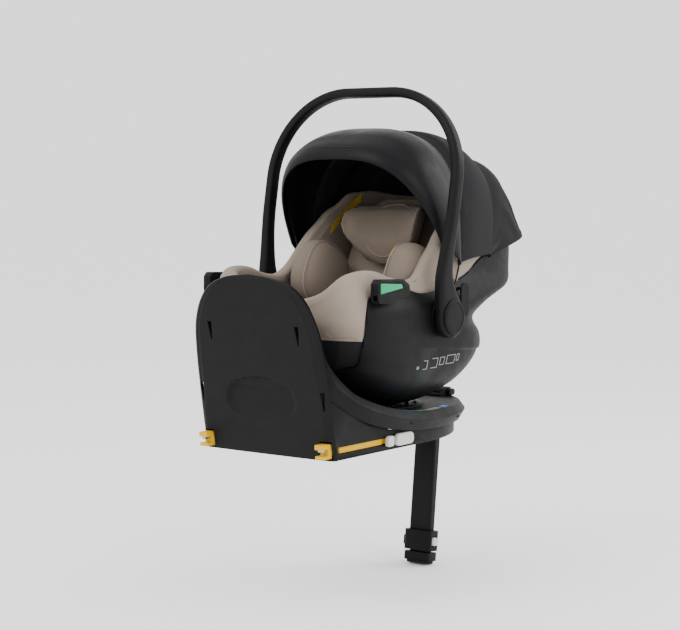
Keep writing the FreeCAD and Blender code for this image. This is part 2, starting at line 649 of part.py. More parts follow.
HUB_IN, HUB_THICK, RECESS_FROM, BUTTON_FROM, BUTTON_THICK = 205.5, 21, 219.2, 223.0, 7
ends = across_hub("hub", "Sizes.hub_radius", HUB_IN, HUB_THICK)
bores = across_hub("hub_bore", STUB_RADIUS + 0.05, 200, 30)
recesses = across_hub("hub_recess", "Sizes.hub_button_radius + 0.5", RECESS_FROM, 10)
node("carry_handle", cut("handle", fuse("handle_solid", handle_body, *ends), *bores, *recesses))
button = round_bar("hub_button", "Sizes.hub_button_radius", BUTTON_THICK,
                   at(BUTTON_FROM, hub_y, hub_z, about_y(90)))
button_face = BUTTON_FROM + BUTTON_THICK - 0.5
both_sides("handle_button", fillet("hub_button_round", button, 2.0, lambda e: e.BoundBox.XMin > button_face))

# ---------------------------------------------------------------- canopy: turned profiles about the pivot line
canopy_at = Placement(V(0, pivot_y, pivot_z), Rotation())


def arch_line(radius, half_width, share):
    """Superellipse over the pivot line, stopped at share of its half width."""
    steps = [-share * math.cos(i * math.pi / 16) for i in range(17)]
    return [V(half_width * s, radius * (1 - abs(s) ** 3) ** (1 / 3), 0) for s in steps]


def arch(name, radius, half_width, thick, first, last, share):
    """Part of a turned arch, swept from angle first to last, head end positive."""
    body = doc.addObject("PartDesign::Body", name)
    outer = arch_line(radius, half_width, share)
    inner = arch_line(radius - thick, half_width - thick, share)
    edges = []
    for points in (outer, inner):
        curve = Part.BSplineCurve()
        curve.interpolate(points)
        edges.append(curve)
    edges.append(Part.LineSegment(outer[0], inner[0]))
    edges.append(Part.LineSegment(outer[-1], inner[-1]))
    turn = body.newObject("PartDesign::Revolution", "turn")
    turn.Profile = sketch(body, "XZ_Plane", edges)
    turn.ReferenceAxis = (turn.Profile[0], ["H_Axis"])
    turn.Angle = last - first
    body.Tip = turn
    body.Placement = canopy_at.multiply(at(turn=about_x(-last)))
    return body


def bow(name, radius, half_width, angle):
    """Thin hoop with an eyelet on each end that turns on the canopy's peg."""
    thick = size("bow_thick")
    hoop = arch(f"{name}_hoop", radius, half_width, thick, angle - 1, angle + 1, 0.999999)
    edge = half_width - thick
    eyelets = [round_bar(f"{name}_eyelet{i}", 8, thick, at(x, pivot_y, pivot_z, about_y(90)))
               for i, x in enumerate((edge, -half_width))]
    bores = [round_bar(f"{name}_bore{i}", PEG_RADIUS + 0.05, 20, at(x - 8, pivot_y, pivot_z, about_y(90)))
             for i, x in enumerate((edge, -half_width))]
    return cut(name, fuse(f"{name}_solid", hoop, *eyelets), *bores)


visor_r, visor_half = size("visor_radius"), size("canopy_half")
node("canopy_front_bow", bow("front_bow", size("front_bow_radius"), size("front_bow_half"), -27))
node("canopy_middle_bow", bow("middle_bow", size("middle_bow_radius"), size("middle_bow_half"), 22))
node("canopy_visor", arch("visor", visor_r, visor_half, size("visor_thick"), -31, 5.5, 0.982))
node("canopy_fabric", arch("fabric", visor_r - 1, visor_half - 1, size("fabric_thick"), 6, 50, 0.975))

doc.recompute()
for made in doc.Objects:
    if "Invalid" in made.State or "Error" in made.State:
        raise RuntimeError(f"{made.Label}: {made.State}")
for part in nodes:
    if part.Shape.isNull() or not part.Shape.isValid() or not part.Shape.Solids:
        raise RuntimeError(f"{part.Label}: its shape is null or not valid")
    part.Shape.exportStep(f"parts/{part.Label}.step")
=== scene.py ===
"""Looks for the infant car seat: shells, soft goods, materials, light and camera round the fixed frame."""
import math

import bpy
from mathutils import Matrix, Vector


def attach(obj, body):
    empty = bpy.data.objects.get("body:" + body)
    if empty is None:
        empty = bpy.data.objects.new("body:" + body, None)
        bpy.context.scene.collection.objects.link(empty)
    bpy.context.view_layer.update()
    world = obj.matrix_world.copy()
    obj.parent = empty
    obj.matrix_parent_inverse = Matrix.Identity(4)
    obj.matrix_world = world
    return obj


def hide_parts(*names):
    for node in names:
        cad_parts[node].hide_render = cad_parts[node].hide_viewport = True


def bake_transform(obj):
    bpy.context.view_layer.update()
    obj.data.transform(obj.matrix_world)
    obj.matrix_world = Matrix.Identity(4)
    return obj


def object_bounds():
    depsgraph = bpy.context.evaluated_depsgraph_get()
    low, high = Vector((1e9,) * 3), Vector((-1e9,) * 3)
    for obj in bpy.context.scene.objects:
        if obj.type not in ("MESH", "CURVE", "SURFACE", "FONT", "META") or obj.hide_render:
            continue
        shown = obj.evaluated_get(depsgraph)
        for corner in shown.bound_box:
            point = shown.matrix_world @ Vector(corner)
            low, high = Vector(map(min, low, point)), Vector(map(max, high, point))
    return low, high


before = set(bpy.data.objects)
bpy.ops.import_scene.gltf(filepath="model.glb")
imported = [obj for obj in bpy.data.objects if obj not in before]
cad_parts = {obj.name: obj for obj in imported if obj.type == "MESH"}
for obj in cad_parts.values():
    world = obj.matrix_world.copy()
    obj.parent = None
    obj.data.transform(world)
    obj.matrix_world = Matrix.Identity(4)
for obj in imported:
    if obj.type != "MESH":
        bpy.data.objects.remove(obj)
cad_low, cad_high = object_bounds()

MM = 0.001
SIDES = (("left", 1), ("right", -1))


# ---------------------------------------------------------------- helpers: selection, modifiers, hand-over
def deselect():
    if bpy.context.object and bpy.context.object.mode != "OBJECT":
        bpy.ops.object.mode_set(mode="OBJECT")
    bpy.ops.object.select_all(action="DESELECT")


def pick(obj):
    deselect()
    obj.select_set(True)
    bpy.context.view_layer.objects.active = obj
    return obj


def modify(obj, kind, **settings):
    """Adds a modifier and applies it at once."""
    pick(obj)
    made = obj.modifiers.new(kind.lower(), kind)
    for key, value in settings.items():
        setattr(made, key, value)
    bpy.ops.object.modifier_apply(modifier=made.name)
    return obj


def rounder(obj, levels=1):
    return modify(obj, "SUBSURF", levels=levels, render_levels=levels)


def bevelled(obj, width, segments=3, angle=32):
    return modify(obj, "BEVEL", width=width * MM, segments=segments, limit_method="ANGLE",
                  angle_limit=math.radians(angle), miter_outer="MITER_ARC", use_clamp_overlap=True)


def soften(obj, angle=35):
    """Smooth shading except across edges sharper than angle."""
    pick(obj)
    bpy.ops.object.shade_smooth_by_angle(angle=math.radians(angle))
    return obj


def tidy_mesh(obj, join=0.02, outward=True):
    """Merges doubled points and turns the faces outwards."""
    pick(obj)
    bpy.ops.object.mode_set(mode="EDIT")
    bpy.ops.mesh.select_all(action="SELECT")
    bpy.ops.mesh.remove_doubles(threshold=join * MM)
    if outward:
        bpy.ops.mesh.normals_make_consistent(inside=False)
    bpy.ops.object.mode_set(mode="OBJECT")
    return obj


def settle(obj):
    """Writes the object's place into its mesh."""
    pick(obj)
    bpy.ops.object.transform_apply(location=True, rotation=True, scale=True)
    return obj


def hand_over(obj, body, material, stands_for=()):
    """Paints a finished piece and lets it ride on its body."""
    obj.data.materials.clear()
    obj.data.materials.append(material)
    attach(obj, body)
    if stands_for:
        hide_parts(*stands_for)
    return obj


def surface(name, across, along, place):
    """A grid primitive whose points are set by place(u, v), in millimetres; u and v run from 0 to 1."""
    deselect()
    bpy.ops.mesh.primitive_grid_add(x_subdivisions=across, y_subdivisions=along, size=2)
    obj = bpy.context.object
    obj.name = name
    for point in obj.data.vertices:
        u, v = (point.co.x + 1) / 2, (point.co.y + 1) / 2
        point.co = Vector(place(u, v)) * MM
    return tidy_mesh(obj)


def track(rows):
    """Smooth curve through rows of (position, value, value, ...), read at any position."""
    def read(t):
        last = len(rows) - 1
        k = 0
        while k < last - 1 and t > rows[k + 1][0]:
            k += 1
        t0, t1 = rows[k][0], rows[k + 1][0]
        f = min(1.0, max(0.0, (t - t0) / (t1 - t0)))
        out = []
        for c in range(1, len(rows[0])):
            a, b = rows[k][c], rows[k + 1][c]
            before, after = rows[max(0, k - 1)], rows[min(last, k + 2)]
            ma = (b - before[c]) / (t1 - before[0]) * (t1 - t0)
            mb = (after[c] - a) / (after[0] - t0) * (t1 - t0)
            h1, h2 = 2 * f**3 - 3 * f**2 + 1, f**3 - 2 * f**2 + f
            h3, h4 = -2 * f**3 + 3 * f**2, f**3 - f**2
            out.append(h1 * a + h2 * ma + h3 * b + h4 * mb)
        return out if len(out) > 1 else out[0]
    return read


def smooth_step(low, high, value):
    f = min(1.0, max(0.0, (value - low) / (high - low)))
    return f * f * (3 - 2 * f)


def power(value, exponent):
    return math.copysign(abs(value) ** exponent, value)


def copy_of_node(name, node):
    """A merged copy of a frame part's mesh, as a new piece."""
    deselect()
    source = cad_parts[node]
    obj = bpy.data.objects.new(name, source.data.copy())
    bpy.context.scene.collection.objects.link(obj)
    tidy_mesh(obj, join=0.01, outward=False)
    return obj


def eased(node, body, material, width=1.0, flat=3.0, segments=3):
    """The frame part with its flat facets joined and its edges rounded."""
    obj = copy_of_node(f"{node}_eased", node)
    pick(obj)
    bpy.ops.object.mode_set(mode="EDIT")
    bpy.ops.mesh.select_all(action="SELECT")
    bpy.ops.mesh.dissolve_limited(angle_limit=math.radians(flat))
    bpy.ops.object.mode_set(mode="OBJECT")
    bevelled(obj, width, segments)
    soften(obj, 40)
    return hand_over(obj, body, material, (node,))


def carve(obj, *tools):
    """Takes closed tools out of a piece and removes them."""
    for tool in tools:
        modify(obj, "BOOLEAN", operation="DIFFERENCE", solver="EXACT", object=tool)
        bpy.data.objects.remove(tool)
    return obj


def prism(name, outline, low, high, axis):
    """Closed prism: outline of (a, b) points pushed along axis from low to high, in millimetres."""
    deselect()
    bpy.ops.mesh.primitive_circle_add(vertices=len(outline), fill_type="NGON")
    obj = bpy.context.object
    obj.name = name
    order = {"x": (2, 0, 1), "y": (0, 2, 1), "z": (0, 1, 2)}[axis]
    for point, (a, b) in zip(obj.data.vertices, outline):
        spot = (a, b, low)
        point.co = Vector([spot[order[0]], spot[order[1]], spot[order[2]]]) * MM
    push = Vector((0, 0, 0))
    push["xyz".index(axis)] = (high - low) * MM
    bpy.ops.object.mode_set(mode="EDIT")
    bpy.ops.mesh.select_all(action="SELECT")
    bpy.ops.mesh.extrude_region_move(TRANSFORM_OT_translate={"value": push})
    bpy.ops.mesh.select_all(action="SELECT")
    bpy.ops.mesh.normals_make_consistent(inside=False)
    bpy.ops.object.mode_set(mode="OBJECT")
    return obj


# ---------------------------------------------------------------- materials: shared node groups
def new_group(name, inputs, outputs):
    group = bpy.data.node_groups.new(name, "ShaderNodeTree")
    for label, kind, value in inputs:
        socket = group.interface.new_socket(label, in_out="INPUT", socket_type=kind)
        if value is not None:
            socket.default_value = value
    for label, kind in outputs:
        group.interface.new_socket(label, in_out="OUTPUT", socket_type=kind)
    return group, group.nodes.new("NodeGroupInput"), group.nodes.new("NodeGroupOutput")


def wire(tree, *pairs):
    for source, target in pairs:
        tree.links.new(source, target)


def math_node(tree, kind, a, b=None):
    made = tree.nodes.new("ShaderNodeMath")
    made.operation = kind
    for socket, value in zip(made.inputs, (a, b)):
        if value is None:
            continue
        if isinstance(value, (int, float)):
            socket.default_value = value
        else:
            tree.links.new(value, socket)
    return made.outputs[0]


def noise(tree, vector, scale, detail=2.0, rough=0.5):
    made = tree.nodes.new("ShaderNodeTexNoise")
    tree.links.new(vector, made.inputs["Vector"])
    if isinstance(scale, (int, float)):
        made.inputs["Scale"].default_value = scale
    else:
        tree.links.new(scale, made.inputs["Scale"])
    made.inputs["Detail"].default_value = detail
    made.inputs["Roughness"].default_value = rough
    return made.outputs["Fac"]


def mix_colour(tree, factor, a, b, blend="MIX"):
    made = tree.nodes.new("ShaderNodeMix")
    made.data_type = "RGBA"
    made.blend_type = blend
    for socket, value in ((made.inputs["Factor"], factor), (made.inputs["A"], a), (made.inputs["B"], b)):
        if isinstance(value, (int, float, tuple)):
            socket.default_value = value if isinstance(value, (int, float)) else (*value, 1.0)
        else:
            tree.links.new(value, socket)
    return made.outputs["Result"]


def remap(tree, value, a, b, c, d):
    made = tree.nodes.new("ShaderNodeMapRange")
    tree.links.new(value, made.inputs["Value"])
    for label, number in zip(("From Min", "From Max", "To Min", "To Max"), (a, b, c, d)):
        made.inputs[label].default_value = number
    return made.outputs["Result"]


def make_grain_group():
    """Moulded plastic: fine leathery grain, slow tone change, dust that settles on upward faces."""
    group, given, result = new_group(
        "moulded_grain",
        [("Vector", "NodeSocketVector", None), ("Colour", "NodeSocketColor", (0.03, 0.03, 0.03, 1)),
         ("Grain Scale", "NodeSocketFloat", 900.0), ("Dust", "NodeSocketFloat", 0.3),
         ("Roughness", "NodeSocketFloat", 0.5)],
        [("Colour", "NodeSocketColor"), ("Roughness", "NodeSocketFloat"), ("Height", "NodeSocketFloat")])
    at = given.outputs["Vector"]
    fine = noise(group, at, given.outputs["Grain Scale"], 3.0, 0.6)
    slow = noise(group, at, 7.0, 3.0)
    smudge = noise(group, at, 38.0, 5.0, 0.65)
    facing = group.nodes.new("ShaderNodeNewGeometry")
    split = group.nodes.new("ShaderNodeSeparateXYZ")
    wire(group, (facing.outputs["Normal"], split.inputs[0]))
    upward = remap(group, split.outputs["Z"], 0.55, 1.0, 0.0, 1.0)
    dust = math_node(group, "MULTIPLY", math_node(group, "MULTIPLY", upward, given.outputs["Dust"]),
                     remap(group, smudge, 0.35, 0.7, 0.2, 1.0))
    toned = mix_colour(group, remap(group, slow, 0.3, 0.7, 0.0, 0.12), given.outputs["Colour"],
                       (0.012, 0.012, 0.0125))
    dusted = mix_colour(group, math_node(group, "MULTIPLY", dust, 0.07), toned, (0.20, 0.195, 0.19))
    rough = math_node(group, "ADD", given.outputs["Roughness"], remap(group, smudge, 0.3, 0.7, -0.06, 0.07))
    wire(group, (dusted, result.inputs["Colour"]), (rough, result.inputs["Roughness"]),
         (fine, result.inputs["Height"]))
    return group


def make_weave_group():
    """Woven or knitted cloth: two crossed sets of threads with melange colour."""
    group, given, result = new_group(
        "cloth_weave",
        [("Vector", "NodeSocketVector", None), ("Thread", "NodeSocketColor", (0.4, 0.36, 0.32, 1)),
         ("Fleck", "NodeSocketColor", (0.2, 0.18, 0.16, 1)), ("Threads", "NodeSocketFloat", 700.0),
         ("Fleck Amount", "NodeSocketFloat", 0.4)],
        [("Colour", "NodeSocketColor"), ("Roughness", "NodeSocketFloat"), ("Height", "NodeSocketFloat")])
    at = given.outputs["Vector"]
    waves = []
    for turn in ((0.0, 0.0, 0.7), (0.9, 0.0, -0.6)):
        mapping = group.nodes.new("ShaderNodeMapping")
        mapping.inputs["Rotation"].default_value = turn
        wave = group.nodes.new("ShaderNodeTexWave")
        wave.wave_type = "BANDS"
        wave.inputs["Distortion"].default_value = 0.8
        wave.inputs["Detail Scale"].default_value = 2.0
        wire(group, (at, mapping.inputs["Vector"]), (mapping.outputs[0], wave.inputs["Vector"]),
             (given.outputs["Threads"], wave.inputs["Scale"]))
        waves.append(wave.outputs["Fac"])
    crossed = math_node(group, "MAXIMUM", *waves)
    slub = noise(group, at, 520.0, 2.0)
    patch = noise(group, at, 14.0, 3.0)
    speck = noise(group, at, 1500.0, 2.0, 0.8)
    fleck = math_node(group, "MULTIPLY", remap(group, speck, 0.45, 0.62, 0.0, 1.0),
                      given.outputs["Fleck Amount"])
    base = mix_colour(group, fleck, given.outputs["Thread"], given.outputs["Fleck"])
    shade = mix_colour(group, remap(group, crossed, 0.0, 0.6, 0.35, 0.0), base, (0.02, 0.018, 0.016))
    toned = mix_colour(group, remap(group, patch, 0.3, 0.7, 0.0, 0.04), shade, (0.1, 0.09, 0.08))
    height = math_node(group, "ADD", crossed, math_node(group, "MULTIPLY", slub, 0.6))
    wire(group, (toned, result.inputs["Colour"]),
         (remap(group, slub, 0.3, 0.7, 0.82, 0.96), result.inputs["Roughness"]),
         (height, result.inputs["Height"]))
    return group


GRAIN = make_grain_group()
WEAVE = make_weave_group()


def new_material(name, group, bump, distance, settings, **shader_values):
    material = bpy.data.materials.new(name)
    material.use_nodes = True
    tree = material.node_tree
    shader = tree.nodes["Principled BSDF"]
    place = tree.nodes.new("ShaderNodeTexCoord")
    block = tree.nodes.new("ShaderNodeGroup")
    block.node_tree = group
    for label, value in settings.items():
        block.inputs[label].default_value = (*value, 1.0) if isinstance(value, tuple) else value
    relief = tree.nodes.new("ShaderNodeBump")
    relief.inputs["Strength"].default_value = bump
    relief.inputs["Distance"].default_value = distance * MM
    wire(tree, (place.outputs["Object"], block.inputs["Vector"]),
         (block.outputs["Colour"], shader.inputs["Base Color"]),
         (block.outputs["Roughness"], shader.inputs["Roughness"]),
         (block.outputs["Height"], relief.inputs["Height"]),
         (relief.outputs["Normal"], shader.inputs["Normal"]))
    for label, value in shader_values.items():
        shader.inputs[label.replace("_", " ")].default_value = value
    return material


def plastic(name, colour, rough=0.5, grain=900.0, bump=0.12, dust=0.3, **values):
    values.setdefault("Specular_IOR_Level", 0.1)
    return new_material(name, GRAIN, bump, 0.25, {"Colour": colour, "Grain Scale": grain, "Dust": dust,
                                                  "Roughness": rough}, **values)


def cloth(name, thread, fleck, threads=420.0, flecks=0.4, bump=0.35, sheen=0.08):
    return new_material(name, WEAVE, bump, 0.3, {"Thread": thread, "Fleck": fleck, "Threads": threads,
                                                 "Fleck Amount": flecks},
                        Sheen_Weight=sheen, Sheen_Roughness=0.5, Specular_IOR_Level=0.1)


SHELL = plastic("shell_moulding", (0.0035, 0.0035, 0.004), 0.5)
BASE = plastic("base_moulding", (0.004, 0.004, 0.0044), 0.5)
PANEL = plastic("panel_moulding", (0.006, 0.006, 0.0063), 0.55, grain=700, bump=0.2)
TRIM = plastic("dark_trim", (0.003, 0.003, 0.0032), 0.42)
HANDLE = plastic("handle_moulding", (0.0035, 0.0035, 0.0039), 0.45)
GRIP = plastic("pale_grip", (0.58, 0.565, 0.53), 0.45, dust=0.0)
GREEN = plastic("green_guide", (0.02, 0.32, 0.14), 0.4, dust=0.0)
YELLOW = plastic("yellow_connector", (0.62, 0.36, 0.006), 0.42, dust=0.0)
RED = plastic("red_button", (0.55, 0.02, 0.02), 0.3, dust=0.0)
FOAM = plastic("bead_foam", (0.015, 0.015, 0.016), 0.8, grain=260, bump=0.5)
STEEL = plastic("plated_steel", (0.45, 0.45, 0.44), 0.35, dust=0.0, Metallic=1.0)
RUBBER = plastic("sole_rubber", (0.015, 0.015, 0.015), 0.8)
LEG = plastic("leg_paint", (0.004, 0.004, 0.0045), 0.4, grain=1500, bump=0.06)
VISOR = plastic("visor_skin", (0.004, 0.004, 0.0048), 0.40, grain=1300, bump=0.05, dust=0.1)
BEIGE = cloth("beige_melange", (0.27, 0.222, 0.178), (0.16, 0.128, 0.10))
TAUPE = cloth("taupe_melange", (0.19, 0.152, 0.12), (0.10, 0.078, 0.06))
BLACK_CLOTH = cloth("black_canopy_cloth", (0.005, 0.005, 0.0065), (0.012, 0.012, 0.014),
                    threads=520, sheen=0.04)
WEBBING = cloth("harness_webbing", (0.02, 0.02, 0.02), (0.05, 0.05, 0.05), threads=300, bump=0.6)
THREAD = cloth("seam_thread", (0.30, 0.25, 0.21), (0.18, 0.15, 0.12), threads=900)

# ---------------------------------------------------------------- base: upper shell
FOOT = 316.0
LEAN = math.tan(math.radians(10.2))


def panel_back(z):
    return -FOOT - LEAN * z


PANEL_FRONT = 8.4
NOSE, RIM_HALF, TOP, RIM_LOW = 238.0, 177.0, 62.0, 27.0
swoop_rows = []
for z, half in ((337, 20), (334, 42), (326, 88), (303, 118), (277, 134), (240, 147)):
    swoop_rows.append((panel_back(z) + PANEL_FRONT + 7, z, panel_back(z) + PANEL_FRONT, z, half))
swoop_rows += [(-333, 205, panel_back(195) + PANEL_FRONT, 195, 151),
               (-314, 180, panel_back(150) + PANEL_FRONT, 150, 154),
               (-290, 154, panel_back(110) + PANEL_FRONT, 112, 157), (-264, 131, -292, 94, 162),
               (-239, 114, -258, 78, 167), (-184, 93, -206, 57, 173), (-126, 78, -138, 40, 176),
               (-60, 66, -66, 30, 177), (0, TOP, 0, RIM_LOW, 177)]
for share in (0.28, 0.52, 0.72, 0.86, 0.94, 0.98, 0.996):
    y = share * NOSE
    swoop_rows.append((y, TOP, y, RIM_LOW + 6 * share**4, RIM_HALF * math.sqrt(1 - share * share)))
swoop = track([(i, *row) for i, row in enumerate(swoop_rows)])


def swoop_point(u, v):
    """Point of the upper shell: v along the swoop, u round its six-cornered section."""
    ty, tz, ly, lz, half = swoop(v * (len(swoop_rows) - 1))
    bevel = min(13.0, 0.35 * half)
    cy, cz = ty + (ly - ty) * 0.42, tz + (lz - tz) * 0.42
    corners = [(half - bevel, ty, tz), (half, cy, cz), (half - bevel, ly, lz),
               (bevel - half, ly, lz), (-half, cy, cz), (bevel - half, ty, tz)]
    stops = [0.30, 0.40, 0.50, 0.80, 0.90, 1.0]
    starts = [0.0] + stops[:-1]
    ring = [corners[-1]] + corners
    for k in range(6):
        if u <= stops[k] + 1e-6:
            f = (u - starts[k]) / (stops[k] - starts[k])
            a, b = ring[k], ring[k + 1]
            return [a[i] + (b[i] - a[i]) * f for i in range(3)]


upper = surface("base_swoop_shell", 40, 90, swoop_point)
pick(upper)
bpy.ops.object.mode_set(mode="EDIT")
bpy.ops.mesh.select_all(action="SELECT")
bpy.ops.mesh.select_all(action="DESELECT")
bpy.ops.mesh.select_non_manifold()
bpy.ops.mesh.edge_face_add()
bpy.ops.mesh.select_all(action="SELECT")
bpy.ops.mesh.normals_make_consistent(inside=False)
bpy.ops.object.mode_set(mode="OBJECT")
bevelled(upper, 3.0, 3, 20)
soften(upper, 30)
hand_over(upper, "base", BASE, ("base_upper_shell",))

eased("base_lower_shell", "base", BASE, 1.2)

# ---------------------------------------------------------------- base: back panel
PANEL_TOP = 340.5
RECESS_MIDDLE, RECESS_HALF, RECESS_RISE, RECESS_FALL, RECESS_DIP = 102, 84, 47, 36, 7.5
LIP_AT, LIP_WIDE, LIP_DEEP = 13, 3.2, 1.5
panel_half = track([(0, 157), (60, 157), (120, 156), (180, 154), (236, 148), (272, 136), (300, 118),
                    (318, 98), (330, 72), (337, 42), (PANEL_TOP, 0)])


def panel_point(u, v):
    """Outer skin of the panel: crowned, rolled at the rim, with an oval recess."""
    z = PANEL_TOP * math.sin(v * math.pi / 2) ** 0.85
    side = 2 * u - 1
    spread = math.copysign(abs(math.sin(side * math.pi / 2)), side)
    x = panel_half(z) * spread
    edge = min(panel_half(z) - abs(x), (PANEL_TOP - z) * 0.9)
    roll = 7.5 * (1 - min(edge / 16, 1)) ** 2
    tall = RECESS_RISE if z > RECESS_MIDDLE else RECESS_FALL
    ring = (abs(x / RECESS_HALF) ** 2.3 + abs((z - RECESS_MIDDLE) / tall) ** 2.3) ** (1 / 2.3)
    dip = RECESS_DIP * (1 - smooth_step(0.90, 1.0, ring)) * smooth_step(58, 128, z)
    groove = LIP_DEEP * math.exp(-(((edge - LIP_AT) / LIP_WIDE) ** 2)) * smooth_step(60, 140, z)
    crown = 2.5 * (x / 157) ** 2
    return x, panel_back(z) + roll + dip + groove + crown - 1.0, z


panel = surface("back_panel_skin", 160, 170, panel_point)
modify(panel, "SOLIDIFY", thickness=6 * MM, offset=-1.0)
slots = []
for u, v in ((104, 248), (-104, 248), (145, 128), (-145, 128)):
    outline = [(u - 5, v), (u + 5, v), (u + 1.8, v - 34), (u, v - 36), (u - 0.8, v - 34)]
    slots.append(prism("slot", outline, -420, -300, "y"))
for u in (140, -140):
    slots.append(prism("mouth", [(u - 12, 3), (u + 12, 3), (u + 12, 36), (u - 12, 36)], -420, -300, "y"))
carve(panel, *slots)
soften(panel, 40)
hand_over(panel, "base", PANEL, ("backrest_panel",))

# ---------------------------------------------------------------- small hard parts, eased from the frame
for node, body, material, width, slot in (
    ("leg_bracket", "base", BASE, 0.6, "base_plastic"),
    ("release_housing", "base", BASE, 2.0, "trim_plastic"),
    ("release_button", "release_button", TRIM, 2.0, "trim_plastic"),
    ("turntable", "turntable", BASE, 1.0, "base_plastic"),
    ("turntable_ring", "turntable", TRIM, 0.6, "trim_plastic"),
    ("leg_outer_tube", "leg_upper", LEG, 0.8, "leg_metal"),
    ("leg_clamp", "leg_upper", TRIM, 2.2, "trim_plastic"),
    ("leg_release_button", "leg_button", GRIP, 1.4, "grip_plastic"),
    ("leg_lock_lever", "leg_lever", TRIM, 1.0, "trim_plastic"),
    ("leg_inner_tube", "leg_lower", LEG, 0.8, "leg_metal"),
    ("leg_foot", "leg_lower", TRIM, 2.2, "trim_plastic"),
    ("leg_foot_pad", "leg_lower", RUBBER, 1.6, "foot_rubber"),
    ("buckle_housing", "carrier", TRIM, 2.0, "trim_plastic"),
    ("buckle_button", "buckle_button", RED, 1.2, "buckle_red"),
    ("adjuster_housing", "carrier", TRIM, 1.5, "trim_plastic"),
    ("adjuster_button", "adjuster_button", GRIP, 1.0, "grip_plastic"),
):
    eased(node, body, material, width)
for side, sign in SIDES:
    eased(f"isofix_arm_{side}", f"isofix_arm_{side}", YELLOW, 1.2)
    eased(f"isofix_grip_{side}", f"isofix_arm_{side}", GRIP, 2.4)
    eased(f"isofix_button_{side}", f"isofix_button_{side}", GRIP, 2.0)
for node, material in (
    ("base_screws", STEEL),
    ("leg_pivot_pin", STEEL),
    ("carrier_latch_fingers", STEEL),
    ("canopy_front_bow", TRIM),
    ("canopy_middle_bow", TRIM),
    ("foam_liner", FOAM),
    ("headrest_plate", TAUPE),
    ("isofix_hook_left", STEEL),
    ("isofix_hook_right", STEEL),
    ("handle_socket_left", SHELL),
    ("handle_socket_right", SHELL),
    ("canopy_pivot_left", SHELL),
    ("canopy_pivot_right", SHELL),
):
    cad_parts[node].data.materials.clear()
    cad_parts[node].data.materials.append(material)
    soften(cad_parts[node], 35)

# ---------------------------------------------------------------- carrier: wall table and shell
rings = track([
    (66.5, 74, 80, 2.5, 80, 2.5), (76, 106, 110, 2.5, 106, 2.5), (90, 133, 144, 2.7, 132, 2.5),
    (112, 165, 188, 3.0, 173, 2.5), (145, 187, 230, 3.6, 214, 2.6), (176, 196, 246, 4.5, 226, 2.8),
    (205, 200, 266, 6, 216, 2.8), (240, 201, 283, 8, 200, 2.4), (268, 200, 284, 9, 232, 3.2),
    (296, 189, 284, 10, 316, 4.2), (330, 174, 280, 10, 338, 4.8), (398, 166, 270, 10, 342, 5),
    (450, 158, 250, 9, 318, 4), (500, 148, 230, 8, 270, 3),
])


def wall(z, psi, inset):
    """Point of the carrier's wall at height z; psi is in degrees from the foot end, positive on the left."""
    half, foot, foot_power, head, head_power = rings(min(z, 499))
    along, aside = -math.cos(math.radians(psi)), math.sin(math.radians(psi))
    reach, exponent = (foot, foot_power) if along < 0 else (head, head_power)
    far = (abs(aside / (half - inset)) ** exponent
           + abs(along / (reach - inset)) ** exponent) ** (-1 / exponent)
    return far * aside, far * along, z


spread = track([(0, 0), (0.07, 22), (0.12, 31), (0.20, 37.5), (0.26, 50), (0.5, 118), (0.75, 150),
                (1, 180)])
shell_rim = track([(0, 186), (22, 186), (29, 188), (32.5, 198), (34.2, 221), (35.5, 259), (36.6, 294),
                   (41, 302), (53, 308), (66, 297), (82, 298), (94, 304), (112, 318), (122, 330),
                   (134, 356), (149, 388), (162, 388), (180, 386)])
recess_edge = track([(0, 157), (22, 158), (28, 163), (32, 171), (34, 196), (36, 250), (40, 300)])
FLAT_SHARE, CREASE_SHARE, STEP_SHARE = 0.10, 0.52, 0.55


def around(u):
    """Turns 0..1 into an angle from -180 to 180, with more points at the side arms' front edges."""
    side = 2 * u - 1
    return math.copysign(spread(abs(side)), side)


def shell_point(u, v):
    psi = around(u)
    turn = abs(psi)
    top = shell_rim(turn)
    crease = min(190 - 0.085 * (73 - 200 * math.cos(math.radians(turn))), top - 30)
    step = 4.0 * smooth_step(62, 80, turn) * (1 - smooth_step(160, 176, turn))
    if v < FLAT_SHARE:
        x, y, z = wall(66.5, psi, step)
        return x * v / FLAT_SHARE, y * v / FLAT_SHARE, z
    if v < CREASE_SHARE:
        z = 66.5 + (crease - 66.5) * (v - FLAT_SHARE) / (CREASE_SHARE - FLAT_SHARE)
        inset = step
    elif v < STEP_SHARE:
        f = (v - CREASE_SHARE) / (STEP_SHARE - CREASE_SHARE)
        z, inset = crease + 2 * f, step * (1 - f)
    else:
        z = crease + 2 + (top - crease - 2) * (v - STEP_SHARE) / (1 - STEP_SHARE)
        inset = 0
    edge = recess_edge(min(turn, 40))
    inset += 12 * (1 - smooth_step(34.2, 36.2, turn)) * smooth_step(edge - 5, edge + 3, z)
    return wall(z, psi, inset)


shell = surface("carrier_bowl", 240, 72, shell_point)
modify(shell, "SOLIDIFY", thickness=3.8 * MM, offset=-1.0)
bevelled(shell, 1.4, 2, 50)
soften(shell, 32)
hand_over(shell, "carrier", SHELL, ("carrier_shell",))

# ---------------------------------------------------------------- seat cover, wrapped round the foam's rim
cover_rim = track([(0, 289), (10, 291), (19, 305), (27, 336), (33, 345), (39, 343), (47, 330),
                   (57, 323), (63, 325), (69, 336), (74, 349), (79, 364), (88, 388), (101, 420),
                   (112, 444), (124, 464), (132, 481), (142, 487), (152, 483), (166, 473), (180, 469)])
ROLL = 12.5


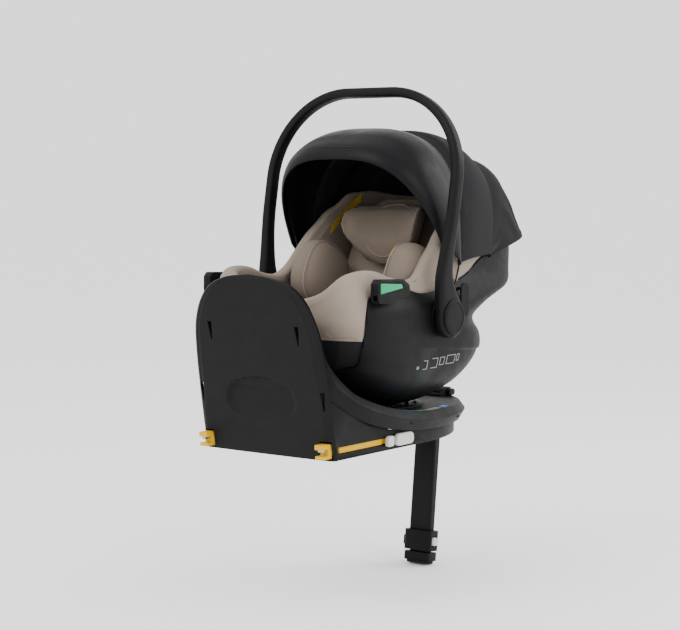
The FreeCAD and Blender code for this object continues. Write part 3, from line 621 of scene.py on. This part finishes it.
def cover_point(u, v):
    psi = around(u)
    turn = abs(psi)
    top = cover_rim(turn) + 1.2 * math.sin(turn * 0.35) * smooth_step(70, 100, turn)
    front = 1 - smooth_step(33.5, 37, turn)
    low = 216 * front + (shell_rim(turn) - 14) * (1 - front)
    lip = shell_rim(turn)
    spread_out = 5 * smooth_step(345, 400, top)
    if v < 0.06:
        z, inset = low + 1.5, (12 - 150 * v) * front + 5.2 * (1 - front)
    elif v < 0.40:
        f = (v - 0.06) / 0.34
        z = low + (top - ROLL - low) * f
        outside = smooth_step(lip - 4, lip + 7, z)
        bulge = math.sin(math.pi * min(1, f * 1.15))
        inset = (front * (2.0 - 5.0 * bulge) + (1 - front) * (5.2 - 3.6 * outside)
                 - spread_out * smooth_step(lip, lip + 40, z))
    elif v < 0.62:
        f = (v - 0.40) / 0.22 * math.pi
        z = top - ROLL + ROLL * math.sin(f)
        inset = 14.2 - ROLL * math.cos(f) + 2 * front * (1 - f / math.pi) - spread_out
    else:
        f = (v - 0.62) / 0.38
        z = top - ROLL - (top - ROLL - 146) * f
        inset = (26.7 + 1.5 * math.sin(math.pi * f) * (1 - front)
                 - spread_out * (1 - smooth_step(0, 0.06, f)))
    return wall(z, psi, inset)


cover = surface("seat_cover_cloth", 240, 64, cover_point)
modify(cover, "SOLIDIFY", thickness=1.6 * MM, offset=-1.0)
soften(cover, 60)
hand_over(cover, "carrier", BEIGE, ("seat_cover",))


def seam(name, body, points, radius, material, closed=False):
    """A round bead laid through points in millimetres."""
    deselect()
    bpy.ops.curve.primitive_bezier_circle_add()
    obj = bpy.context.object
    obj.name = name
    bpy.ops.object.mode_set(mode="EDIT")
    bpy.ops.curve.select_all(action="SELECT")
    bpy.ops.curve.delete(type="VERT")
    bpy.ops.object.mode_set(mode="OBJECT")
    line = obj.data.splines.new("POLY")
    line.points.add(len(points) - 1)
    for knot, point in zip(line.points, points):
        knot.co = (*[c * MM for c in point], 1)
    line.use_cyclic_u = closed
    obj.data.bevel_depth = radius * MM
    obj.data.bevel_resolution = 2
    obj.data.use_fill_caps = True
    pick(obj)
    bpy.ops.object.convert(target="MESH")
    obj = tidy_mesh(bpy.context.object)
    soften(obj, 60)
    return hand_over(obj, body, material)


def spaced(low, high, count):
    return [low + (high - low) * i / (count - 1) for i in range(count)]


ROUND = spaced(0, 2 * math.pi, 73)[:-1]


seam("cover_hem_bead", "carrier", [wall(221, p, 0.2) for p in spaced(-33, 33, 60)],
     1.1, BEIGE)
for side, sign in SIDES:
    seam(f"thigh_seam_{side}", "carrier",
         [wall(288 - 67 * f, sign * (6 + 18 * f),
               -2.4 * math.sin(math.pi * min(1, (1 - f) * 0.9 + 0.1)) + 1.2)
          for f in spaced(0, 1, 24)], 0.7, THREAD)
    seam(f"inner_rim_seam_{side}", "carrier",
         [wall(cover_rim(p) - 27, sign * p, 26.4) for p in spaced(68, 178, 70)], 0.9, THREAD)
    seam(f"side_fold_seam_{side}", "carrier",
         [wall(cover_rim(104) - 27 - (cover_rim(104) - 200) * f, sign * (104 - 26 * f), 26.9)
          for f in spaced(0, 1, 24)], 0.8, THREAD)

# ---------------------------------------------------------------- cushions
BACK_FOOT = Vector((0, -5, 150))
BACK_UP = Vector((0, 0.493, 0.870))
BACK_OUT = Vector((0, -0.870, 0.493))


def on_back(x, off, up):
    return Vector((x, 0, 0)) + BACK_FOOT + BACK_OUT * off + BACK_UP * up


def cushion_form(name, centre, half, powers, shape=None, rings_count=40, spokes=64):
    """Closed crowned form: half sizes sideways, out of the back and up along it."""
    def place(u, v):
        lon, lat = 2 * math.pi * u, math.pi * (v - 0.5)
        flat = power(math.cos(lat), 2 / powers[1])
        p = Vector((power(math.cos(lon), 2 / powers[0]) * flat, power(math.sin(lon), 2 / powers[0]) * flat,
                    power(math.sin(lat), 2 / powers[1])))
        if shape:
            p = shape(p)
        return on_back(centre[0] + p.z * half[0], centre[1] + p.x * half[1], centre[2] + p.y * half[2])
    return surface(name, spokes, rings_count, place)


def puff(obj, cap, voxel=5.0, pressure=4.0, frames=20):
    """Swells a form as stuffed cloth, with each point's travel capped, then smooths it once."""
    modify(obj, "REMESH", mode="VOXEL", voxel_size=voxel * MM)
    rest = [point.co.copy() for point in obj.data.vertices]
    pick(obj)
    made = obj.modifiers.new("cloth", "CLOTH")
    made.settings.quality = 5
    made.settings.mass = 0.2
    made.settings.tension_stiffness = 12
    made.settings.compression_stiffness = 12
    made.settings.bending_stiffness = 0.4
    made.settings.use_pressure = True
    made.settings.uniform_pressure_force = pressure
    made.settings.effector_weights.gravity = 0
    made.point_cache.frame_start, made.point_cache.frame_end = 1, frames
    for step in range(1, frames + 1):
        bpy.context.scene.frame_set(step)
    bpy.ops.object.modifier_apply(modifier=made.name)
    bpy.context.scene.frame_set(1)
    for point, start in zip(obj.data.vertices, rest):
        move = point.co - start
        if move.length > cap * MM:
            point.co = start + move.normalized() * cap * MM
    rounder(obj)
    pick(obj)
    bpy.ops.object.shade_smooth()
    return obj


pillow = cushion_form("headrest_pillow", (0, 36, 268), (88, 27, 71), (2.4, 2.4),
                      lambda p: Vector((p.x + 2.5 * abs(p.z) ** 2.6, p.y * (1 - 0.12 * p.z * p.z), p.z)))
puff(pillow, 5)
hand_over(pillow, "headrest", TAUPE, ("headrest_pad",))
seam("pillow_seam", "headrest",
     [on_back(49 * power(math.cos(t), 0.9), 58 + 14 * abs(math.cos(t)) ** 2.6 - 7 * abs(math.sin(t)) ** 4,
              268 + 60 * power(math.sin(t), 0.9)) for t in ROUND],
     0.9, THREAD, closed=True)
for side, sign in SIDES:
    bolster = cushion_form(f"bolster_{side}", (sign * 115, 80, 142), (40, 74, 70), (2.6, 2.5),
                           lambda p: Vector((p.x * (1 + 0.06 * p.y), p.y, p.z)))
    puff(bolster, 5)
    hand_over(bolster, "carrier", TAUPE, (f"side_bolster_{side}",))
    seam(f"bolster_seam_{side}", "carrier",
         [on_back(sign * 98, 80 + 74.5 * power(math.cos(t), 0.78), 142 + 70 * power(math.sin(t), 0.78))
          for t in ROUND], 0.9, THREAD, closed=True)
for node, cap in (("seat_pad", 3), ("back_pad", 3)):
    pad = copy_of_node(f"{node}_cushion", node)
    puff(pad, cap)
    hand_over(pad, "carrier", BEIGE, (node,))
for side, sign in SIDES:
    pad = copy_of_node(f"shoulder_pad_soft_{side}", f"shoulder_pad_{side}")
    puff(pad, 2, voxel=3.0)
    hand_over(pad, "carrier", TAUPE, (f"shoulder_pad_{side}",))
    eased(f"shoulder_strap_{side}", "carrier", WEBBING, 0.4)
eased("crotch_strap", "carrier", WEBBING, 0.4)

# ---------------------------------------------------------------- canopy: visor and rear hood
PIVOT_Y, PIVOT_Z = 45.0, 300.0
visor_form = track([(-32.0, 297, 189, 108), (-30.5, 305, 194, 100), (-28.5, 311, 197, 92),
                    (-26, 315.5, 199.5, 84), (-18.5, 319, 201, 66), (-8, 317, 200, 52),
                    (0, 307.5, 196, 47), (5.8, 299, 190, 46)])
hood_form = track([(0.00, 45, 300, 63, 594, 186, 0.155, 3), (0.05, 46, 301, 88, 604, 188, 0.155, 3),
                   (0.10, 55, 306, 104, 611, 189, 0.15, 3), (0.22, 80, 316, 148, 605, 189, 0.14, 3),
                   (0.40, 130, 326, 190, 588, 184, 0.13, 3), (0.55, 172, 336, 222, 567, 178, 0.115, 3),
                   (0.585, 174, 337, 230, 563, 177, 0.11, 3),
                   (0.64, 177, 342, 262, 558, 176, 0.08, 3.2),
                   (0.70, 180, 348, 288, 541, 175, 0.05, 3.4),
                   (0.82, 181, 353, 316, 490, 174, 0.01, 4.2),
                   (0.92, 181, 355, 330, 443, 173, 0.0, 5.4), (1.00, 181, 356, 351, 399, 173, 0.0, 7)])


def bow_shape(side, low, half, rise, squareness=3):
    """Superellipse arch across the canopy: side -1..1 gives the sideways place and the rise share."""
    edge = math.acos(min(1.0, max(0.0, low)) ** (squareness / 2))
    turn = side * edge
    return half * power(math.sin(turn), 2 / squareness), rise * abs(math.cos(turn)) ** (2 / squareness)


def visor_point(u, v):
    t = math.radians(-32 + 37.8 * v)
    reach, half, low = visor_form(math.degrees(t))
    x, rho = bow_shape(2 * u - 1, low / reach, half, reach)
    return x, PIVOT_Y + rho * math.sin(t), PIVOT_Z + rho * math.cos(t)


def hood_point(u, v):
    by, bz, ty, tz, half, low, squareness = hood_form(v)
    x, share = bow_shape(2 * u - 1, low, half, 1, squareness)
    side = abs(2 * u - 1)
    gather = 1.6 * math.sin(34 * side + 5 * v) * smooth_step(0.62, 0.85, v) * (1 - smooth_step(0.93, 1, v))
    return x * (1 - gather / 190), by + (ty - by) * share - gather * 0.6, bz + (tz - bz) * share


visor = surface("canopy_visor_skin", 120, 46, visor_point)
modify(visor, "SOLIDIFY", thickness=3 * MM, offset=-1.0)
bevelled(visor, 1.2, 2, 50)
soften(visor, 40)
hand_over(visor, "canopy_front", VISOR, ("canopy_visor",))

hood = surface("canopy_hood", 130, 80, hood_point)
modify(hood, "SOLIDIFY", thickness=1.6 * MM, offset=-1.0)
soften(hood, 50)
hood.data.materials.append(BLACK_CLOTH)
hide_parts("canopy_fabric")
hood_seam = surface("canopy_hood_seam", 130, 6, lambda u, v: [
    c + d for c, d in zip(hood_point(u, 0.5675 + 0.006 * math.cos(2 * math.pi * v)),
                          (0, 1.4 * math.sin(2 * math.pi * v), 1.4 * math.sin(2 * math.pi * v)))])
soften(hood_seam, 60)
hood_seam.data.materials.append(BLACK_CLOTH)
hem = surface("canopy_hem_band", 130, 8, lambda u, v: [
    c + d for c, d in zip(hood_point(u, 0.985 + 0.014 * math.cos(2 * math.pi * v)),
                          (0, 1.8 * math.sin(2 * math.pi * v), 1.2 * math.sin(2 * math.pi * v)))])
soften(hem, 60)
hem.data.materials.append(BLACK_CLOTH)
for piece in (hood, hood_seam, hem):
    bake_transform(piece)

# ---------------------------------------------------------------- carry handle
HANDLE_FOOT = Vector((0, -66, 262))
HANDLE_UP = Vector((0, math.sin(math.radians(10.6)), math.cos(math.radians(10.6))))
HANDLE_BACK = Vector((0, HANDLE_UP.z, -HANDLE_UP.y))
HANDLE_HALF, HANDLE_REACH, HANDLE_CORNER = 217.0, 429.3, 172.0
HANDLE_BOW = 9.0
HUB_ASIDE, HUB_ALONG, HUB_RADIUS = 39.6, -4.8, 41.0
HUB_Y, HUB_Z = -28, 250
front_edge = track([(-4.8, -1.2), (12, -5.5), (30, -10), (60, -14.5), (110, -14.5), (180, -13.5),
                    (270, -13.5)])
rear_edge = track([(-4.8, 80.4), (12, 77), (24, 67), (36, 54), (52, 38), (75, 25), (110, 18),
                   (160, 14.5), (270, 13.5)])
LEG_RUN = HANDLE_REACH - HANDLE_CORNER
route = [(HUB_ALONG - HUB_RADIUS * math.cos(a * math.pi / 28), None) for a in range(14)]
route += [(along, None) for along in spaced(HUB_ALONG, 80, 18) + spaced(90, LEG_RUN, 20)]
route += [(LEG_RUN, a) for a in spaced(0, 90, 26)[1:]]


def handle_station(k):
    """Centre, sideways direction, front and rear edge, and half thickness at one stop of the route."""
    along, bend = route[k]
    if bend is None:
        if along < HUB_ALONG:
            half = math.sqrt(max(0, HUB_RADIUS**2 - (along - HUB_ALONG) ** 2))
            low, high = HUB_ASIDE - half, HUB_ASIDE + half
        else:
            low, high = front_edge(along), rear_edge(along)
        bowed = HANDLE_HALF + HANDLE_BOW * smooth_step(50, 200, along)
        return (bowed, along), (1, 0), low, high, 10.5 - 0.8 * smooth_step(40, 160, along)
    a = math.radians(bend)
    middle = HANDLE_HALF + HANDLE_BOW - HANDLE_CORNER
    centre = middle + HANDLE_CORNER * math.cos(a), LEG_RUN + HANDLE_CORNER * math.sin(a)
    return centre, (math.cos(a), math.sin(a)), -13.5, 13.5, 9.7


def handle_point(u, v):
    last = len(route) - 1
    k = round(v * (2 * last + 1))
    mirror = 1
    if k > last:
        k, mirror = 2 * last + 1 - k, -1
    (cx, cz), (nx, nz), low, high, half = handle_station(k)
    turn = 2 * math.pi * u
    exponent = 0.62 - 0.12 * smooth_step(30, 44, high - low)
    aside = half * power(math.cos(turn), exponent)
    back = (low + high) / 2 + (high - low) / 2 * power(math.sin(turn), exponent)
    spot = HANDLE_FOOT + HANDLE_UP * (cz + nz * aside) + HANDLE_BACK * back
    return mirror * (cx + nx * aside), spot.y, spot.z


handle = surface("carry_handle_moulding", 56, 2 * len(route) - 1, handle_point)
for sign in (1, -1):
    deselect()
    bpy.ops.mesh.primitive_cylinder_add(vertices=96, radius=34.6 * MM, depth=20 * MM,
                                        rotation=(0, math.pi / 2, 0),
                                        location=(sign * 229.2 * MM, HUB_Y * MM, HUB_Z * MM))
    carve(handle, settle(bpy.context.object))
soften(handle, 38)
hand_over(handle, "handle", HANDLE, ("carry_handle",))
for side, sign in SIDES:
    eased(f"handle_button_{side}", f"handle_button_{side}", HANDLE, 1.6)
    seam(f"hub_ring_{side}", f"handle_button_{side}",
         [(sign * 230, HUB_Y + 29 * math.cos(t), HUB_Z + 29 * math.sin(t)) for t in ROUND],
         0.7, HANDLE, closed=True)

# ---------------------------------------------------------------- belt hooks, labels and tags
for side, sign in SIDES:
    eased(f"belt_hook_{side}", "carrier", SHELL, 4.0)
    eased(f"belt_guide_insert_{side}", "carrier", GREEN, 1.2)


def plain(name, colour, rough=0.5):
    return new_material(name, GRAIN, 0.02, 0.1, {"Colour": colour, "Grain Scale": 600.0, "Dust": 0.0,
                                                 "Roughness": rough})


WHITE_INK = plain("pale_print", (0.20, 0.20, 0.20))
GREEN_INK = plain("green_print", (0.06, 0.28, 0.07))
BLUE_INK = plain("blue_print", (0.05, 0.25, 0.75))
SHELL_STEP = 3.75
TAG = cloth("yellow_tag", (0.62, 0.40, 0.02), (0.45, 0.28, 0.01), threads=900, flecks=0.15)


def patch(name, body, place, material, across=12, along=8, thick=0.25):
    obj = surface(name, across, along, place)
    modify(obj, "SOLIDIFY", thickness=thick * MM, offset=0.0)
    soften(obj, 50)
    return hand_over(obj, body, material)


def step_depth(turn):
    """How far the shell is set back under its crease at one angle from the foot end."""
    return SHELL_STEP * smooth_step(62, 80, turn)


def on_shell(z0, z1, psi0, psi1, inset):
    return lambda u, v: wall(z0 + (z1 - z0) * v, psi0 + (psi1 - psi0) * u, inset)


for k, (start, end, low, high, ink) in enumerate(((62.5, 64.2, 152, 158, GREEN_INK),
                                                  (66, 71.5, 150, 168, WHITE_INK),
                                                  (73.5, 82, 150, 170, WHITE_INK),
                                                  (84, 89, 154, 170, WHITE_INK),
                                                  (91, 100, 154, 172, WHITE_INK),
                                                  (101.5, 104.5, 158, 172, WHITE_INK))):
    for side, sign in SIDES:
        patch(f"side_print_{k}_{side}", "carrier",
              on_shell(low, high, sign * start, sign * end, step_depth((start + end) / 2)), ink)
        if ink is WHITE_INK:
            patch(f"side_print_blank_{k}_{side}", "carrier",
                  on_shell(low + 1.6, high - 1.6, sign * (start + 0.7), sign * (end - 0.7),
                           step_depth((start + end) / 2) - 0.25), SHELL)
for side, sign in SIDES:
    for k, (start, end, ink) in enumerate((
            (12.05, 13.0, BLUE_INK), (13.15, 13.7, GREEN_INK), (13.8, 14.6, WHITE_INK),
            (14.75, 15.1, BLUE_INK))):
        def on_platform(u, v, start=start, end=end, sign=sign):
            ty, tz, ly, lz, half = swoop(start + (end - start) * u)
            return sign * (half - 34 + 14 * v), ty, tz + 0.35
        patch(f"platform_print_{k}_{side}", "base", on_platform, ink)
    for k, stop in enumerate((12.6, 15.3)):
        ty, tz, ly, lz, half = swoop(stop)
        middle = tz * 0.42 + lz * 0.58
        outline = [(ty - 7, middle - 2), (ty + 5, middle - 4), (ty + 7, middle), (ty - 5, middle + 2)]
        edges = sorted((sign * (half - 9), sign * (half - 3)))
        notch = prism(f"rim_notch_{k}_{side}", outline, *edges, "x")
        hand_over(notch, "base", TRIM)
patch("bolster_tag", "carrier",
      lambda u, v: on_back(96 + 12 * u, 150.5 - 2 * u - 8 * v * v, 163 + 20 * v), TAG, 8, 8, 0.5)
patch("head_tag", "carrier",
      lambda u, v: wall(398 + 66 * u + 17 * v, -(114 + 26 * u), 27.6), TAG, 20, 4, 0.5)

# ---------------------------------------------------------------- stage, light and camera
deselect()
bpy.ops.mesh.primitive_plane_add(size=90, location=(0, 0, cad_low.z - 0.0005))
floor = bpy.context.object
floor.name = "floor"
pale = bpy.data.materials.new("pale_floor")
pale.use_nodes = True
pale.node_tree.nodes["Principled BSDF"].inputs["Base Color"].default_value = (0.97, 0.97, 0.97, 1)
pale.node_tree.nodes["Principled BSDF"].inputs["Roughness"].default_value = 0.7
pale.node_tree.nodes["Principled BSDF"].inputs["Emission Color"].default_value = (1, 1, 1, 1)
pale.node_tree.nodes["Principled BSDF"].inputs["Emission Strength"].default_value = 0.05
floor.data.materials.append(pale)

world = bpy.data.worlds.new("studio")
bpy.context.scene.world = world
world.use_nodes = True
world.node_tree.nodes["Background"].inputs["Color"].default_value = (1, 1, 1, 1)
world.node_tree.nodes["Background"].inputs["Strength"].default_value = 1.7


def softbox(name, place, aim, size, watts):
    lamp = bpy.data.lights.new(name, "AREA")
    lamp.shape = "RECTANGLE"
    lamp.size, lamp.size_y = size
    lamp.energy = watts
    obj = bpy.data.objects.new(name, lamp)
    bpy.context.scene.collection.objects.link(obj)
    obj.location = place
    obj.rotation_euler = (Vector(aim) - Vector(place)).to_track_quat("-Z", "Y").to_euler()
    return obj


softbox("key", (-0.6, -2.6, 2.6), (0, 0, 0.3), (1.8, 1.8), 60)
softbox("fill", (2.8, -0.6, 1.6), (0, 0, 0.25), (1.6, 1.6), 28)
softbox("rim", (1.6, 2.2, 1.8), (0, 0, 0.3), (1.2, 1.6), 36)

camera = bpy.data.objects.new("camera", bpy.data.cameras.new("camera"))
bpy.context.scene.collection.objects.link(camera)
bpy.context.scene.camera = camera
VIEW_AZIMUTH, VIEW_DROP = math.radians(37.0), math.atan2(147, 1800)
camera.data.sensor_width = 36.0
camera.data.lens = 36.0 * 1800 / 680
toward = Vector((-math.sin(VIEW_AZIMUTH) * math.cos(VIEW_DROP), math.cos(VIEW_AZIMUTH) * math.cos(VIEW_DROP),
                 -math.sin(VIEW_DROP)))
aside = Vector((math.cos(VIEW_AZIMUTH), math.sin(VIEW_AZIMUTH), 0))
camera.location = Vector((math.sin(VIEW_AZIMUTH), -math.cos(VIEW_AZIMUTH), 0)) * 3.598 - aside * 0.054 \
    + Vector((0, 0, 0.535))
camera.rotation_euler = toward.to_track_quat("-Z", "Y").to_euler()
camera.data.clip_start, camera.data.clip_end = 0.1, 50
